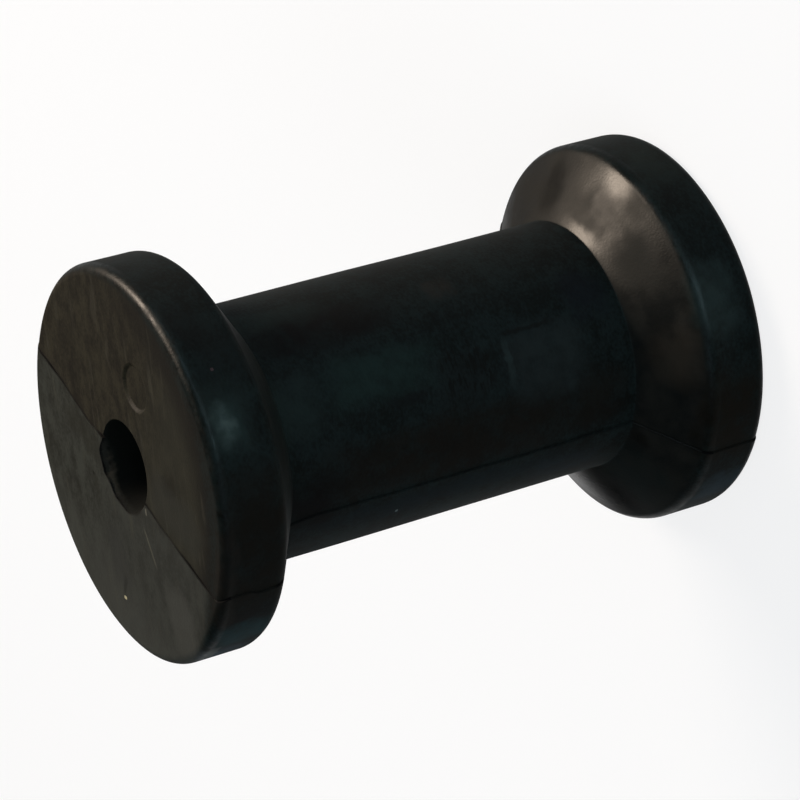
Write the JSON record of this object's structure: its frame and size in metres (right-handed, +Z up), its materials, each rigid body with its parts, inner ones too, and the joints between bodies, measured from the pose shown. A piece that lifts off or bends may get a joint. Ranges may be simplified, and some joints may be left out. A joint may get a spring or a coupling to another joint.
{
  "type": "boat trailer roller",
  "caption": "Moulded black rubber spool roller for a boat trailer, with a plain barrel between coned flanges and a bore for a spindle.",
  "frame": {"origin": "centre of the lower end face, on the bore's axis", "axes": "+Z up along the bore's axis, from the lower end face to the upper; the mould's parting line lies in the X-Z plane"},
  "size_m": [0.0744, 0.0742, 0.115],
  "materials": {
    "moulded_rubber": "satin, as moulded"
  },
  "bodies": {
    "root": {"roller": "moulded_rubber"}
  },
  "joints": []
}
